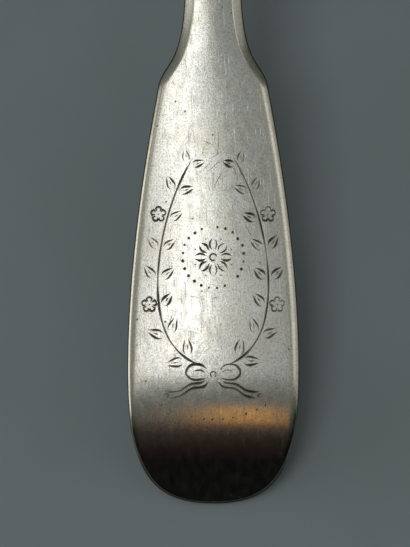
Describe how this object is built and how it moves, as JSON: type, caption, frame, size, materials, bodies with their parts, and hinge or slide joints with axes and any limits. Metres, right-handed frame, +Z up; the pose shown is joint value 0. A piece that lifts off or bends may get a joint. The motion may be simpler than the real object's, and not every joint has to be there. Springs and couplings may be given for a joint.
{
  "type": "stew spoon",
  "caption": "Long serving spoon with a fiddle-shaped, turned-down handle, an arched stem and an egg-shaped bowl carried by a rounded drop.",
  "frame": {"origin": "middle of the whole spoon's plan, on the table it lies on", "axes": "+Z up off the table with the bowl facing up, +Y from the end of the handle to the point of the bowl, X = 0 the plane of symmetry"},
  "size_m": [0.061, 0.3052, 0.0349],
  "materials": {
    "bowl_silver": "worn satin silver",
    "handle_silver": "worn satin silver with fine scratches and engraving",
    "silver_solder": "dull, slightly yellow hard solder"
  },
  "bodies": {
    "root": {"bowl": "bowl_silver", "handle": "handle_silver", "solder_seam": "silver_solder"}
  },
  "joints": []
}
